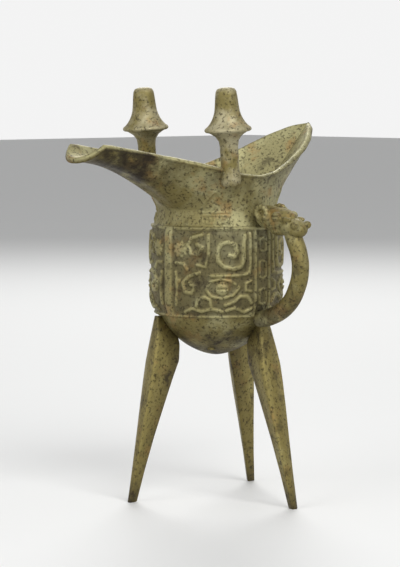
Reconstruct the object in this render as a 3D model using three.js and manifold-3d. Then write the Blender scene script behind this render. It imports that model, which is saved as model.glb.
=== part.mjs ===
// A bronze libation cup (jue): a bowl with a long spout and a pointed tail on three blade legs,
// with two capped posts on the rim and a strap handle that comes out of an animal head.
// Millimetres, +Z up. The spout points to -X, the tail to +X and the handle to -Y.
import * as THREE from "three";
import { mergeVertices } from "three/addons/utils/BufferGeometryUtils.js";
import Module from "manifold-3d";

const wasm = await Module();
wasm.setup();

// Gap between pieces that touch, and the thickness of the cast wall.
const FIT_GAP = 0.3;
const WALL = 2.2;

// Bowl and neck.
const BOWL_BOTTOM = 70.4;
const BELLY_START = 100.4;
const BELLY_RADIUS = 31.4;
const BOWL_ROUNDNESS = 1.7;
const SHOULDER = 128;
const NECK_HEIGHT = 142;
const NECK_RADIUS = 28.8;
const LOWER_BORDER = 91;
const UPPER_BORDER = 134;
const RELIEF_DEPTH = 1.1;
const RELIEF_BEVEL = 0.5;
const BOWL_ROWS = 5;
const BELLY_ROWS = 1;
const NECK_ROWS = 2;
const FLARE_ROWS = 6;

// Rim, seen from above and from the side: distance along X, half width and height.
const RIM_OUTLINE = [
  [-83, 13, 172.3],
  [-66, 14, 170.2],
  [-56, 15, 168.6],
  [-47, 16.8, 166.8],
  [-40, 21, 165],
  [-34, 25.2, 163.6],
  [-26, 28, 161.8],
  [-14, 30.4, 158.8],
  [0, 31.4, 157.6],
  [12, 29.9, 159.2],
  [25, 26.2, 163.5],
  [40, 20.8, 169.5],
  [50, 15.2, 174.6],
  [60, 6.8, 179.6],
  [66, 0, 181],
];
const LIP_REACH = 7.5;
const LIP_DROP = 6.5;
const LIP_SHAPE = 2.4;
const SPOUT_FULLNESS = 0.9;
const SPOUT_FULLNESS_ANGLE = 0.14;
const SIDE_FLARE = 0.6;
const MOUTH_COLUMNS = 3;
const SIDE_COLUMNS = 20;

// Legs: the angle and the distance of each foot from the bowl's axis.
const LEGS = [
  ["leg_spout_side", 155.6, 42.5],
  ["leg_under_handle", 275, 47.5],
  ["leg_tail_side", 25.4, 48.7],
];
const LEG_TOP = 90;
const LEG_TOP_RADIUS = 30.6;
const LEG_CROWN = 0.9;
// Height, half width and depth of the blade.
const BLADE_SECTIONS = [
  [0, 2.2, 4.2],
  [16, 3.2, 6.2],
  [32, 4.6, 8.8],
  [48, 6.2, 12],
  [60, 7.1, 14.5],
  [68, 7.3, 16.5],
  [76, 6, 15.5],
  [84, 4.2, 12],
  [LEG_TOP, 2.6, 6],
];
const TENON_RADIUS = 2.5;
const TENON_HEIGHT = 84;
const TENON_STEP = 0.5;
const TENON_OUTSIDE = 6;
const TENON_INSIDE = 4.2;
const RIVET_RADIUS = 4.2;

// Posts and caps: heights count from the rim along the leaning post.
const POST_X = -18.5;
const POST_Y = 28.6;
const POST_RIM_HEIGHT = 160;
const POST_LEAN = THREE.MathUtils.degToRad(4.5);
const POST_FOOT = -6.5;
const POST_RADIUS = 4.3;
const POST_FOOT_RADIUS = 4.9;
const COLLAR_START = 15.4;
const BRIM_HEIGHT = 19.4;
const BRIM_THICKNESS = 1.6;
const COLLAR_OVERLAP = 0.6;
const SPIGOT_RADIUS = 2.5;
const CAP_HEIGHT = 40.1;
const CAP_WALL = 1.6;
const CAP_BRIM_RADIUS = 11.1;
// Radius and height of the bell from the brim up.
const CAP_SIDE = [
  [8.9, 23],
  [7, 26],
  [5.9, 29],
  [5.5, 32],
  [5.1, 35.5],
  [4.6, 38.4],
];
const CORE_TOP_INDEX = 2;

// Handle: the middle line of the strap in the plane X = 0, from the muzzle down to the bowl.
const STRAP_RADIUS = 4.1;
const STRAP_LINE = [
  [-50.6, 134],
  [-52.3, 129.6],
  [-55.6, 122.2],
  [-56.6, 114.8],
  [-54.4, 106.2],
  [-48.6, 97.8],
  [-36.7, 91.2],
  [-26, 89.4],
];
// Animal head: centre, and radii along X, Y and Z, of each swelling. Those off the middle are paired.
const HEAD_SWELLINGS = {
  cranium: [0, -41.5, 138.4, 7.2, 12.5, 6.4],
  muzzle: [0, -52.2, 133.8, 6.2, 6.8, 4.4],
  jaw: [0, -43.5, 132.6, 4.2, 6, 2.6],
  ear: [6.6, -36.6, 142.4, 2.4, 4.6, 3.8],
  eye: [5.9, -46.2, 139.6, 2.2, 2.4, 2.2],
  nostril: [4.1, -56.6, 135.6, 1.8, 2, 1.8],
};
const HEAD_CORE = [0, -34.6, 138, 4.2, 7, 3.4];

// Bronze spacers that held the mould's core off the bowl's floor.
const CHAPLET_RADIUS = 2;
const CHAPLET_DISTANCE = 12;
const CHAPLET_ANGLES = [95, 215, 335];

const ROUND_SIDES = 14;
const BALL_SIDES = 10;
const BALL_RINGS = 7;
const STRAP_STEPS = 16;
const STRAP_SIDES = 5;
const MERGE_TOLERANCE = 1e-3;
const TURN = 2 * Math.PI;

function bronze() {
  return new THREE.MeshStandardMaterial({ color: 0x8f8455, roughness: 0.55, metalness: 0.7 });
}

function clay() {
  return new THREE.MeshStandardMaterial({ color: 0x7a6650, roughness: 0.95, metalness: 0 });
}

// Solid of a closed three.js geometry.
function solidOf(geometry) {
  const bare = geometry.index ? geometry.toNonIndexed() : geometry.clone();
  bare.deleteAttribute("normal");
  bare.deleteAttribute("uv");
  const merged = mergeVertices(bare, MERGE_TOLERANCE);
  return new wasm.Manifold(
    new wasm.Mesh({
      numProp: 3,
      vertProperties: merged.attributes.position.array,
      triVerts: new Uint32Array(merged.index.array),
    }),
  );
}

// Named mesh of a solid.
function meshOf(solid, name, material) {
  const result = solid.getMesh();
  const positions = new Float32Array(result.numVert * 3);
  for (let i = 0; i < result.numVert; i++) {
    positions.set(result.vertProperties.subarray(i * result.numProp, i * result.numProp + 3), i * 3);
  }
  const geometry = new THREE.BufferGeometry();
  geometry.setAttribute("position", new THREE.BufferAttribute(positions, 3));
  geometry.setIndex(new THREE.BufferAttribute(new Uint32Array(result.triVerts), 1));
  geometry.computeVertexNormals();
  const mesh = new THREE.Mesh(geometry, material);
  mesh.name = name;
  return mesh;
}

// Closed surface from a pole over rings of equal count to another pole. Rings run anticlockwise
// when seen from the last pole.
function ringSolid(firstPole, rings, lastPole) {
  const count = rings[0].length;
  const points = [firstPole, ...rings.flat(), lastPole];
  const last = points.length - 1;
  const index = [];
  for (let j = 0; j < count; j++) {
    const next = (j + 1) % count;
    index.push(0, 1 + next, 1 + j);
    for (let i = 0; i + 1 < rings.length; i++) {
      const low = 1 + i * count;
      const high = low + count;
      index.push(low + j, low + next, high + next);
      index.push(low + j, high + next, high + j);
    }
    index.push(last, last - count + j, last - count + next);
  }
  const geometry = new THREE.BufferGeometry().setFromPoints(points);
  geometry.setIndex(index);
  return solidOf(geometry);
}

function ellipsoid([x, y, z, radiusX, radiusY, radiusZ], grow = 0) {
  const geometry = new THREE.SphereGeometry(1, BALL_SIDES, BALL_RINGS);
  geometry.scale(radiusX + grow, radiusY + grow, radiusZ + grow);
  geometry.translate(x, y, z);
  return solidOf(geometry);
}

// Round bar between two points.
function bar(from, to, radius) {
  const direction = to.clone().sub(from);
  const geometry = new THREE.CylinderGeometry(radius, radius, direction.length(), ROUND_SIDES);
  const up = new THREE.Vector3(0, 1, 0);
  geometry.applyQuaternion(new THREE.Quaternion().setFromUnitVectors(up, direction.normalize()));
  const middle = from.clone().add(to).multiplyScalar(0.5);
  geometry.translate(middle.x, middle.y, middle.z);
  return solidOf(geometry);
}

// Value of a rim column at a distance along X, between the points of the outline.
function rimValue(x, column) {
  const after = RIM_OUTLINE.findIndex((point) => point[0] >= x);
  if (after === 0) return RIM_OUTLINE[0][column];
  if (after < 0) return RIM_OUTLINE.at(-1)[column];
  const low = RIM_OUTLINE[after - 1];
  const high = RIM_OUTLINE[after];
  return THREE.MathUtils.lerp(low[column], high[column], (x - low[0]) / (high[0] - low[0]));
}

const MOUTH_X = -RIM_OUTLINE[0][0];
const MOUTH_ANGLE = Math.atan2(RIM_OUTLINE[0][1], MOUTH_X);

// Angles of the surface's columns, from the spout's axis round and back, close at spout and tail.
function columnAngles() {
  const half = [];
  for (let i = 0; i < MOUTH_COLUMNS; i++) {
    half.push((MOUTH_ANGLE * i) / MOUTH_COLUMNS);
  }
  for (let i = 0; i <= SIDE_COLUMNS; i++) {
    const share = i / SIDE_COLUMNS;
    const eased = share / 2 + (1 - Math.cos(Math.PI * share)) / 4;
    half.push(MOUTH_ANGLE + (Math.PI - MOUTH_ANGLE) * eased);
  }
  const back = half.slice(1, -1).reverse();
  return [...half, ...back.map((angle) => TURN - angle)];
}

// Point of the rim at an angle from the spout's axis.
function rimPoint(angle) {
  const fromSpout = Math.min(angle, TURN - angle);
  if (fromSpout < MOUTH_ANGLE) {
    const lip = 1 - (fromSpout / MOUTH_ANGLE) ** LIP_SHAPE;
    const x = -MOUTH_X - LIP_REACH * lip;
    return new THREE.Vector3(x, x * Math.tan(angle), RIM_OUTLINE[0][2] - LIP_DROP * lip);
  }
  let inside = 0;
  let outside = 2 * MOUTH_X;
  for (let step = 0; step < 40; step++) {
    const middle = (inside + outside) / 2;
    const within = middle * Math.sin(fromSpout) < rimValue(-middle * Math.cos(fromSpout), 1);
    if (within) inside = middle;
    else outside = middle;
  }
  const x = -inside * Math.cos(angle);
  return new THREE.Vector3(x, -inside * Math.sin(angle), rimValue(x, 2));
}

// Plain radius of the bowl and neck at a height, without the relief.
function bowlRadius(height) {
  if (height < BELLY_START) {
    const rest = (BELLY_START - height) / (BELLY_START - BOWL_BOTTOM);
    return BELLY_RADIUS * (1 - rest ** BOWL_ROUNDNESS) ** (1 / BOWL_ROUNDNESS);
  }
  const share = THREE.MathUtils.smoothstep(height, SHOULDER, NECK_HEIGHT);
  return THREE.MathUtils.lerp(BELLY_RADIUS, NECK_RADIUS, share);
}

function spread(from, to, count) {
  return Array.from({ length: count }, (_, i) => from + ((to - from) * (i + 1)) / (count + 1));
}

// Heights of the bowl's rings. The relief's two borders have a ring below and above them.
function ringHeights() {
  const bottom = spread(0, 1, BOWL_ROWS).map((share) => share ** 1.6);
  return [
    ...bottom.map((share) => BOWL_BOTTOM + share * (LOWER_BORDER - RELIEF_BEVEL - BOWL_BOTTOM)),
    LOWER_BORDER - RELIEF_BEVEL,
    LOWER_BORDER + RELIEF_BEVEL,
    ...spread(LOWER_BORDER + RELIEF_BEVEL, BELLY_START, 2),
    BELLY_START,
    ...spread(BELLY_START, UPPER_BORDER - RELIEF_BEVEL, BELLY_ROWS),
    UPPER_BORDER - RELIEF_BEVEL,
    UPPER_BORDER + RELIEF_BEVEL,
    ...spread(UPPER_BORDER + RELIEF_BEVEL, NECK_HEIGHT, NECK_ROWS),
    NECK_HEIGHT,
  ];
}

// Point of the flare between neck and rim, at a share of the way up.
function flarePoint(angle, share) {
  const rim = rimPoint(angle);
  const rimRadius = Math.hypot(rim.x, rim.y);
  const fromSpout = Math.min(angle, TURN - angle);
  const side = Math.sin(angle) ** 2;
  const fullness = 1 + SPOUT_FULLNESS * Math.exp(-((fromSpout / SPOUT_FULLNESS_ANGLE) ** 2));
  const radius = THREE.MathUtils.lerp(NECK_RADIUS, rimRadius, share ** (1 + SIDE_FLARE * side));
  const height = THREE.MathUtils.lerp(NECK_HEIGHT, rim.z, 1 - (1 - share) ** fullness);
  return new THREE.Vector3(-radius * Math.cos(angle), -radius * Math.sin(angle), height);
}

// Rings of the vessel's outside, with or without the raised band of the relief.
function wallRings(relief) {
  const angles = columnAngles();
  const rings = ringHeights().map((height) => {
    const raised = height > LOWER_BORDER && height < UPPER_BORDER;
    const radius = bowlRadius(height) + (raised ? relief : 0);
    return angles.map(
      (angle) => new THREE.Vector3(-radius * Math.cos(angle), -radius * Math.sin(angle), height),
    );
  });
  for (let i = 1; i <= FLARE_ROWS; i++) {
    rings.push(angles.map((angle) => flarePoint(angle, i / FLARE_ROWS)));
  }
  return rings;
}

// Rings moved along their own normals, outwards when the distance is positive.
function offsetRings(rings, distance) {
  const pole = new THREE.Vector3(0, 0, BOWL_BOTTOM);
  return rings.map((ring, i) =>
    ring.map((point, j) => {
      const count = ring.length;
      const along = ring[(j + 1) % count].clone().sub(ring[(j + count - 1) % count]);
      const above = rings[Math.min(i + 1, rings.length - 1)][j];
      const below = i > 0 ? rings[i - 1][j] : pole;
      const normal = along.cross(above.clone().sub(below)).normalize();
      return point.clone().addScaledVector(normal, distance);
    }),
  );
}

function axisPoint(height) {
  return new THREE.Vector3(0, 0, height);
}

// Wall between an outside and an inside that are moved by the given distances from the plain faces.
function wallSolid(outwards, inwards) {
  const outside = offsetRings(wallRings(RELIEF_DEPTH), outwards);
  const inside = offsetRings(wallRings(0), -WALL - inwards);
  const lift = Math.max(outwards, 0);
  for (const ring of [outside.at(-1), inside.at(-1)]) {
    ring.forEach((point) => point.setZ(point.z + lift));
  }
  return ringSolid(
    axisPoint(BOWL_BOTTOM - outwards),
    [...outside, ...inside.reverse()],
    axisPoint(BOWL_BOTTOM + WALL + inwards),
  );
}

// Everything within the vessel's surface, moved by a distance and closed over the rim.
function filledSolid(rings, distance) {
  return ringSolid(axisPoint(BOWL_BOTTOM - distance), offsetRings(rings, distance), axisPoint(POST_RIM_HEIGHT));
}

const outsideKeepOut = filledSolid(wallRings(RELIEF_DEPTH), FIT_GAP);
const insideRoom = filledSolid(wallRings(0), -WALL - FIT_GAP);
const wallKeepOut = wallSolid(FIT_GAP, FIT_GAP);

// Point at a distance from the bowl's axis, at an angle and a height.
function polar(radius, angle, height) {
  return new THREE.Vector3(radius * Math.cos(angle), radius * Math.sin(angle), height);
}

// Tenon that passes square through the sloping wall, from outside to inside.
function tenonLine(angle) {
  const step = TENON_STEP;
  const rise = bowlRadius(TENON_HEIGHT + step) - bowlRadius(TENON_HEIGHT - step);
  const inward = new THREE.Vector2(-2 * step, rise).normalize();
  const radius = bowlRadius(TENON_HEIGHT);
  const at = (travel) => polar(radius + inward.x * travel, angle, TENON_HEIGHT + inward.y * travel);
  return [at(-TENON_OUTSIDE), at(TENON_INSIDE)];
}

// Distance of the blade's outer face from the axis at a height.
function bladeRadius(height, footRadius) {
  const foot = footRadius + BLADE_SECTIONS[0][2] / 2;
  return THREE.MathUtils.lerp(foot, LEG_TOP_RADIUS, height / LEG_TOP);
}

function leg(angle, footRadius) {
  const outward = polar(1, angle, 0);
  const sideways = polar(1, angle + TURN / 4, 0);
  const place = (out, side, height) =>
    axisPoint(height).addScaledVector(outward, out).addScaledVector(sideways, side);
  const rings = BLADE_SECTIONS.map(([height, halfWidth, depth]) => {
    const face = bladeRadius(height, footRadius);
    return [
      place(face, -halfWidth, height),
      place(face + LEG_CROWN, 0, height),
      place(face, halfWidth, height),
      place(face - depth, 0, height),
    ];
  });
  const centre = ([height, , depth]) => place(bladeRadius(height, footRadius) - depth / 3, 0, height);
  const blade = ringSolid(centre(BLADE_SECTIONS[0]), rings, centre(BLADE_SECTIONS.at(-1)));
  const [from, to] = tenonLine(angle);
  const start = from.clone().lerp(to, 0.5);
  const rivet = bar(start, to, RIVET_RADIUS).intersect(insideRoom);
  return blade.subtract(outsideKeepOut).subtract(strap(FIT_GAP)).add(bar(from, to, TENON_RADIUS)).add(rivet);
}

// Line of a spacer through the bowl's floor, square to it, from below to above.
function chapletLine(angle) {
  const outer = polar(CHAPLET_DISTANCE, angle, 0);
  let height = BOWL_BOTTOM;
  while (bowlRadius(height) < CHAPLET_DISTANCE) height += 0.05;
  return [outer.clone().setZ(height), outer.clone().setZ(height + WALL * 1.4)];
}

function chaplet(angle, grow) {
  const [from, to] = chapletLine(angle);
  const reach = new THREE.Vector3(0, 0, grow * 10);
  return bar(from.sub(reach), to.add(reach), CHAPLET_RADIUS + grow);
}

function vessel() {
  let wall = wallSolid(0, 0);
  for (const [, degrees] of LEGS) {
    const [from, to] = tenonLine(THREE.MathUtils.degToRad(degrees));
    wall = wall.subtract(bar(from, to, TENON_RADIUS + FIT_GAP));
  }
  for (const degrees of CHAPLET_ANGLES) {
    wall = wall.subtract(chaplet(THREE.MathUtils.degToRad(degrees), FIT_GAP));
  }
  return wall;
}

function turned(outline) {
  const points = outline.map(([radius, height]) => new THREE.Vector2(radius, height));
  const geometry = new THREE.LatheGeometry(points, ROUND_SIDES);
  geometry.rotateX(Math.PI / 2);
  return geometry;
}

// Turned geometry put on the rim, leaning towards the spout.
function onRim(geometry, side) {
  geometry.rotateY(-POST_LEAN);
  geometry.translate(POST_X, side * POST_Y, POST_RIM_HEIGHT);
  return solidOf(geometry);
}

// Post: a forked foot over the rim, a shaft, a collar inside the cap's brim and a spigot.
function post(side) {
  const collarRadius = CAP_BRIM_RADIUS - CAP_WALL - FIT_GAP;
  const collarTop = BRIM_HEIGHT + COLLAR_OVERLAP;
  const outline = [
    [0, POST_FOOT],
    [POST_FOOT_RADIUS, POST_FOOT],
    [POST_RADIUS, 0],
    [POST_RADIUS, COLLAR_START],
    [collarRadius, BRIM_HEIGHT - FIT_GAP],
    [collarRadius, collarTop],
    [SPIGOT_RADIUS, collarTop],
    [SPIGOT_RADIUS, CAP_HEIGHT - CAP_WALL - 2 * FIT_GAP],
    [0, CAP_HEIGHT - CAP_WALL - 2 * FIT_GAP],
  ];
  return onRim(turned(outline), side).subtract(wallKeepOut);
}

// Bell-shaped cap, open below.
function cap(side) {
  const brimTop = BRIM_HEIGHT + BRIM_THICKNESS;
  const outside = [[CAP_BRIM_RADIUS, BRIM_HEIGHT], [CAP_BRIM_RADIUS, brimTop], ...CAP_SIDE];
  const crown = CAP_HEIGHT - CAP_WALL;
  const inside = outside.map(([radius, height]) => [radius - CAP_WALL, Math.min(height, crown - FIT_GAP)]);
  return onRim(
    turned([[0, crown], ...inside.reverse(), ...outside, [CAP_SIDE.at(-1)[0] / 2, CAP_HEIGHT - 0.3], [0, CAP_HEIGHT]]),
    side,
  );
}

// Clay left inside a cap, round the post's spigot.
function capCore(side) {
  const bottom = BRIM_HEIGHT + COLLAR_OVERLAP + FIT_GAP;
  const shrink = CAP_WALL + 1.5 * FIT_GAP;
  const start = CAP_BRIM_RADIUS - shrink;
  const wall = CAP_SIDE.slice(0, CORE_TOP_INDEX + 1).map(([radius, height]) => [radius - shrink, height]);
  const bore = SPIGOT_RADIUS + FIT_GAP;
  const outline = [[bore, bottom], [start, bottom], ...wall, [bore, wall.at(-1)[1]], [bore, bottom]];
  return onRim(turned(outline), side);
}

// Strap, thicker and longer at the muzzle by the given growth.
function strap(grow) {
  const points = STRAP_LINE.map(([y, z]) => new THREE.Vector3(0, y, z));
  const start = points[0].clone().sub(points[1]).normalize();
  points[0].addScaledVector(start, grow);
  const radius = STRAP_RADIUS + grow;
  const section = new THREE.Shape().absarc(0, 0, radius, 0, TURN);
  const geometry = new THREE.ExtrudeGeometry(section, {
    steps: STRAP_STEPS,
    curveSegments: STRAP_SIDES,
    bevelEnabled: false,
    extrudePath: new THREE.CatmullRomCurve3(points),
  });
  return solidOf(geometry);
}

// Animal head on the neck, with a socket for the strap and a hollow behind.
function head() {
  let shape = ellipsoid(HEAD_SWELLINGS.cranium);
  for (const swelling of Object.values(HEAD_SWELLINGS).slice(1)) {
    const [x, ...rest] = swelling;
    shape = shape.add(ellipsoid([x, ...rest])).add(ellipsoid([-x, ...rest]));
  }
  return shape.subtract(outsideKeepOut).subtract(strap(FIT_GAP)).subtract(ellipsoid(HEAD_CORE, FIT_GAP));
}

function build() {
  const cup = new THREE.Group();
  const add = (solid, name, material = bronze()) => cup.add(meshOf(solid, name, material));
  add(vessel(), "vessel");
  for (const [name, degrees, footRadius] of LEGS) {
    add(leg(THREE.MathUtils.degToRad(degrees), footRadius), name);
  }
  for (const [side, word] of [
    [-1, "handle_side"],
    [1, "far_side"],
  ]) {
    add(post(side), "post_" + word);
    add(cap(side), "cap_" + word);
    add(capCore(side), "cap_core_" + word, clay());
  }
  add(strap(0).subtract(outsideKeepOut), "handle_strap");
  add(head(), "handle_head");
  add(ellipsoid(HEAD_CORE).subtract(outsideKeepOut), "handle_head_core", clay());
  CHAPLET_ANGLES.forEach((degrees, i) => {
    add(chaplet(THREE.MathUtils.degToRad(degrees), 0), "chaplet_" + (i + 1));
  });
  return cup;
}

// The part's origin is the middle of its base.
const cup = build();
const box = new THREE.Box3().setFromObject(cup);
const middle = box.getCenter(new THREE.Vector3());
cup.position.set(-middle.x, -middle.y, -box.min.z);
const root = new THREE.Group();
root.add(cup);

export default root;
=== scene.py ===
"""Visual model of a bronze libation cup with spout, tail, three legs, two posts and a strap handle."""

import logging
import math
from dataclasses import dataclass, field
from enum import Enum

import bpy
import numpy as np
from mathutils import Matrix, Vector


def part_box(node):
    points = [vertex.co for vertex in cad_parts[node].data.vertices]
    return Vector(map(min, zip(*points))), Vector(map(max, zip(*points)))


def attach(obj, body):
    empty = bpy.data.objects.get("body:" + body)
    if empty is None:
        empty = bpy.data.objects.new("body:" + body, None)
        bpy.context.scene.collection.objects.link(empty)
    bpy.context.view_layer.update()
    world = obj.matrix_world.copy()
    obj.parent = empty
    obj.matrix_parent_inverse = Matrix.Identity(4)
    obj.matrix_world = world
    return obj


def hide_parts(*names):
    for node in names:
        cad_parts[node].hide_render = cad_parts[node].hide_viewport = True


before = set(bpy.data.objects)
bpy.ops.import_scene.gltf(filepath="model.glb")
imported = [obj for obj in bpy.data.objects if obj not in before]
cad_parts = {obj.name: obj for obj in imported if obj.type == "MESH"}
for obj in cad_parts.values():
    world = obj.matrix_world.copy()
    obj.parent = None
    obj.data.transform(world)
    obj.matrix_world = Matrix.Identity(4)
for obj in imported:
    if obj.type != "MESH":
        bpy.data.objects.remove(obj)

LOG = logging.getLogger("cup")
MM = 0.001
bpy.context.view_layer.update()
ROOT = "root"
TURN = 2 * math.pi
BALL_RINGS = 12
BALL_SIDES = 20
SOFTEN_SHARE = 0.5
Points = np.ndarray
Faces = list[tuple[int, ...]]
Pair = tuple[float, float]
Triple = tuple[float, float, float]


class Slot(Enum):
    """Material slots."""

    BRONZE = "bronze_patina"


class Coat(Enum):
    """Per-point values that the patina and the painted shade read."""

    TONE = "tone"
    BROWN = "painted_shade"
    PALE = "pale"


PLAIN_COATS = {Coat.TONE: 0.55, Coat.BROWN: 0.0, Coat.PALE: 0.0}
COAT_SOCKETS = {Coat.TONE: "Tone", Coat.BROWN: "Painted Shade", Coat.PALE: "Paleness"}


@dataclass(frozen=True)
class Origin:
    """Place of the bowl's axis in the row frame, found from the vessel's solid."""

    spout_tip: float = -90.5

    def shift(self) -> Points:
        """Offset from bowl coordinates to row coordinates, in millimetres."""
        low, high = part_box("vessel")
        return np.array([low[0] / MM - self.spout_tip, (low[1] + high[1]) / 2 / MM, 0.0])


SHIFT = Origin().shift()


def smoothstep(low: float, high: float, value: Points) -> Points:
    """Smooth rise from 0 at low to 1 at high."""
    share = np.clip((value - low) / (high - low), 0.0, 1.0)
    return share * share * (3 - 2 * share)


def make_piece(name: str, points: Points, faces: Faces, material: bpy.types.Material,
               coats: dict[Coat, Points] | None = None) -> bpy.types.Object:
    """Makes a smooth mesh object from points in bowl coordinates.

    Args:
        name: Name of the piece.
        points: Points in millimetres, one row each.
        faces: Point numbers of each face, anticlockwise from outside.
        material: Finish of the whole piece.
        coats: Values of each point for the patina and the painted shade.

    Returns:
        The new object, linked to the scene, at the origin.
    """
    mesh = bpy.data.meshes.new(name)
    mesh.from_pydata(((points + SHIFT) * MM).tolist(), [], faces)
    mesh.update()
    mesh.materials.append(material)
    write_coats(mesh, coats or {})
    return place_mesh(name, mesh)


def place_mesh(name: str, mesh: bpy.types.Mesh) -> bpy.types.Object:
    """Shades a mesh smooth and links it to the scene.

    Args:
        name: Name of the piece.
        mesh: Finished mesh.

    Returns:
        The new object, at the origin.
    """
    for polygon in mesh.polygons:
        polygon.use_smooth = True
    piece = bpy.data.objects.new(name, mesh)
    bpy.context.scene.collection.objects.link(piece)
    return piece


def write_coats(mesh: bpy.types.Mesh, coats: dict[Coat, Points]) -> None:
    """Writes the patina's and the painted shade's values on a mesh, with a plain value where none is given.

    Args:
        mesh: Mesh that gets the values.
        coats: Values of each point.
    """
    for coat, usual in PLAIN_COATS.items():
        values = coats.get(coat, np.full(len(mesh.vertices), usual))
        layer = mesh.attributes.get(coat.value) or mesh.attributes.new(coat.value, "FLOAT", "POINT")
        layer.data.foreach_set("value", np.asarray(values, dtype=np.float32))


def bowl_points(mesh: bpy.types.Mesh) -> Points:
    """Points of a mesh in bowl coordinates, in millimetres."""
    places = np.empty(len(mesh.vertices) * 3)
    mesh.vertices.foreach_get("co", places)
    return places.reshape(-1, 3) / MM - SHIFT


def seat(piece: bpy.types.Object, node: str) -> None:
    """Fixes a piece to the cup and the solid that it stands for.

    Args:
        piece: Finished piece.
        node: Name of the solid that it replaces.
    """
    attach(piece, ROOT)
    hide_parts(node)
    LOG.info("%s has %d points", piece.name, len(piece.data.vertices))


def ring_faces(rings: int, count: int) -> Faces:
    """Faces between rings of points, each ring anticlockwise from above.

    Args:
        rings: Number of rings, lowest first.
        count: Points in each ring.

    Returns:
        Four-sided faces that point outwards.
    """
    faces: Faces = []
    for i in range(rings - 1):
        low = i * count
        for j in range(count):
            k = (j + 1) % count
            faces.append((low + j, low + k, low + count + k, low + count + j))
    return faces


def fan_faces(rings: int, count: int) -> Faces:
    """Faces that close both ends of a stack of rings with two poles after the last ring's points.

    Args:
        rings: Number of rings.
        count: Points in each ring.

    Returns:
        Three-sided faces that point outwards.
    """
    faces: Faces = []
    bottom = rings * count
    last = bottom - count
    for j in range(count):
        k = (j + 1) % count
        faces.append((bottom, k, j))
        faces.append((bottom + 1, last + j, last + k))
    return faces


def closed_rings(rings: list[Points]) -> tuple[Points, Faces]:
    """Joins rings and closes both ends with a fan.

    Args:
        rings: Rings of equal count, lowest first.

    Returns:
        Points and faces of the closed surface.
    """
    count = len(rings[0])
    poles = [rings[0].mean(axis=0)[None], rings[-1].mean(axis=0)[None]]
    points = np.concatenate([*rings, *poles])
    return points, ring_faces(len(rings), count) + fan_faces(len(rings), count)


def ball(centre: Triple, radii: Triple) -> tuple[Points, Faces]:
    """Closed ellipsoid.

    Args:
        centre: Centre in bowl coordinates.
        radii: Radii along X, Y and Z.

    Returns:
        Points and faces.
    """
    turn = np.linspace(0, TURN, BALL_SIDES, endpoint=False)
    rings = []
    for i in range(1, BALL_RINGS):
        polar = math.pi * i / BALL_RINGS
        flat = math.sin(polar)
        up = np.full(BALL_SIDES, -math.cos(polar))
        rings.append(np.stack([flat * np.cos(turn), flat * np.sin(turn), up], axis=1) * radii + centre)
    return closed_rings(rings)


def join(parts: list[tuple[Points, Faces]]) -> tuple[Points, Faces]:
    """Puts several closed surfaces into one list of points and faces.

    Args:
        parts: Points and faces of each surface.

    Returns:
        All points and all faces.
    """
    points: list[Points] = []
    faces: Faces = []
    offset = 0
    for some_points, some_faces in parts:
        points.append(some_points)
        faces.extend(tuple(index + offset for index in face) for face in some_faces)
        offset += len(some_points)
    return np.concatenate(points), faces


def melt(piece: bpy.types.Object, voxel: float, rounds: int) -> None:
    """Fuses the closed surfaces of a piece into one skin and softens it.

    Args:
        piece: Object whose mesh is replaced.
        voxel: Size of the skin's cells in millimetres.
        rounds: Rounds of smoothing.
    """
    remesh = piece.modifiers.new("skin", "REMESH")
    remesh.mode = "VOXEL"
    remesh.voxel_size = voxel * MM
    remesh.use_smooth_shade = True
    smooth = piece.modifiers.new("soften", "SMOOTH")
    smooth.iterations = rounds
    smooth.factor = SOFTEN_SHARE
    graph = bpy.context.evaluated_depsgraph_get()
    mesh = bpy.data.meshes.new_from_object(piece.evaluated_get(graph))
    piece.modifiers.clear()
    piece.data = mesh


@dataclass(frozen=True)
class Stroke:
    """Raised line of the relief: points along the wall and up it, in millimetres."""

    line: tuple[Pair, ...]
    width: float = 1.5
    height: float = 1.0
    crest: float = 0.32
    edge: float = 0.85

    def raise_at(self, along: Points, up: Points) -> Points:
        """Height of the line over each point.

        Args:
            along: Distance along the wall from the middle of the panel.
            up: Height over the floor.

        Returns:
            Height of the relief in millimetres.
        """
        best = np.full(along.shape, np.inf)
        for (x0, y0), (x1, y1) in zip(self.line, self.line[1:]):
            dx, dy = x1 - x0, y1 - y0
            share = np.clip(((along - x0) * dx + (up - y0) * dy) / (dx * dx + dy * dy), 0, 1)
            best = np.minimum(best, np.hypot(along - x0 - share * dx, up - y0 - share * dy))
        return self.height * (1 - smoothstep(self.width * self.crest, self.width * self.edge, best))


@dataclass(frozen=True)
class Boss:
    """Round boss of the relief, with a slit or with points round it."""

    along: float
    up: float
    radius: float
    height: float
    slit: float = 0.0
    spikes: int = 0
    spike_depth: float = 0.16
    slit_core: float = 0.2
    slit_edge: float = 0.7
    slit_reach: float = 0.8

    def raise_at(self, along: Points, up: Points) -> Points:
        """Height of the boss over each point.

        Args:
            along: Distance along the wall from the middle of the panel.
            up: Height over the floor.

        Returns:
            Height of the relief in millimetres.
        """
        x, y = along - self.along, up - self.up
        wave = np.cos(self.spikes * np.arctan2(y, x)) * (self.spikes > 0)
        reach = self.radius * (1 + self.spike_depth * wave)
        dome = self.height * np.sqrt(np.clip(1 - np.hypot(x, y) ** 2 / reach**2, 0, 1))
        cut = (1 - smoothstep(self.slit_core, self.slit_edge, np.abs(y)))
        cut = cut * (np.abs(x) < self.radius * self.slit_reach)
        return dome - self.slit * cut * (dome > 0)


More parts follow.
